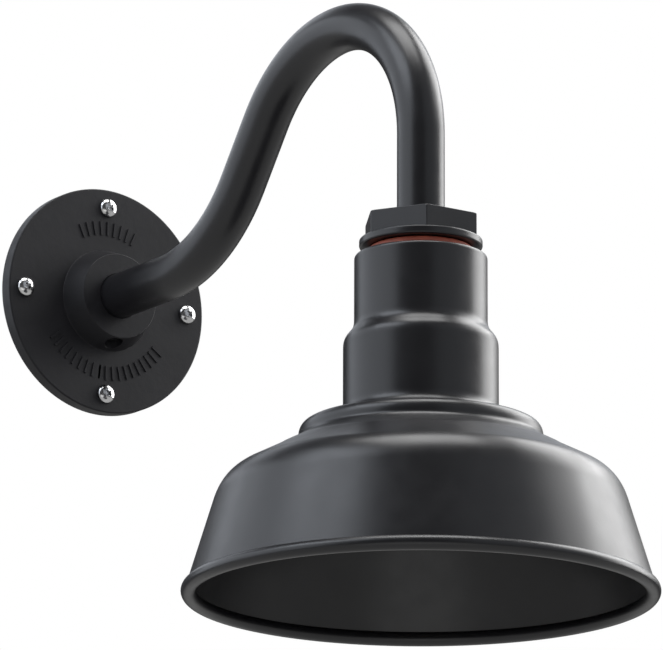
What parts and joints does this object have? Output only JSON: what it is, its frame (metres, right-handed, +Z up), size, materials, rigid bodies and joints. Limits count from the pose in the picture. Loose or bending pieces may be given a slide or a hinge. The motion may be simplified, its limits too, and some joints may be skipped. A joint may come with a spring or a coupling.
{
  "type": "outdoor wall lantern",
  "caption": "Gooseneck wall light: round cast wall plate, bent pipe arm, hex fitting with gasket, and a spun bell shade over a screw-base lamp socket.",
  "frame": {"origin": "centre of the wall plate's back face, on the hub's axis, in the plane of the wall", "axes": "+Y into the wall, the lamp stands out towards -Y, +Z up, +X to the right for someone who faces the wall"},
  "size_m": [0.2048, 0.3651, 0.2789],
  "materials": {
    "black_paint": "satin black powder coat",
    "black_casting": "satin black powder coat over cast metal",
    "stainless": "bright stainless",
    "steel": "zinc plated",
    "black_steel": "black oxide",
    "brass": "satin",
    "green_paint": "green ground marking",
    "silicone": "matte red-brown",
    "foam": "closed-cell foam",
    "porcelain": "glazed porcelain",
    "black_wire": "satin insulation",
    "white_wire": "satin insulation",
    "green_wire": "satin insulation"
  },
  "bodies": {
    "wall": {"wall_plate": "black_casting", "plate_gasket": "foam", "plate_screw_top": "stainless", "plate_screw_left": "stainless", "plate_screw_bottom": "stainless", "plate_screw_right": "stainless", "hub_set_screw": "black_steel", "ground_screw": "green_paint", "ground_lead": "green_wire"},
    "arm": {"gooseneck_arm": "black_paint", "line_lead_in_arm": "black_wire", "neutral_lead_in_arm": "white_wire"},
    "lamp": {"hex_fitting": "black_paint", "fitting_gasket": "silicone", "shade_neck": "black_paint", "shade_collar": "black_paint", "shade_bell": "black_paint", "neck_washer": "steel", "neck_lock_nut": "steel", "socket_bracket": "steel", "bracket_screw_right": "steel", "bracket_screw_left": "steel", "socket_body": "porcelain", "screw_shell": "brass", "contact_pad": "brass", "contact_rivet": "steel", "socket_screw_front": "steel", "socket_screw_back": "steel", "line_terminal_screw": "brass", "neutral_terminal_screw": "steel", "line_lead_at_socket": "black_wire", "neutral_lead_at_socket": "white_wire"},
    "contact": {"centre_contact": "brass"}
  },
  "joints": [
    {"name": "arm_turn", "type": "hinge", "parent": "wall", "child": "arm", "pos_m": [0, 0, 0], "axis": [0, -1, 0], "range_deg": [-45, 45]},
    {"name": "shade_turn", "type": "hinge", "parent": "arm", "child": "lamp", "pos_m": [0, -0.25665, 0], "axis": [0, 0, 1], "range_deg": [-30, 30]},
    {"name": "contact_press", "type": "hinge", "parent": "lamp", "child": "contact", "pos_m": [0, -0.25195, -0.06481], "axis": [-1, 0, 0], "range_deg": [0, 8.5], "stiffness_Nm_per_rad": 0.3}
  ]
}
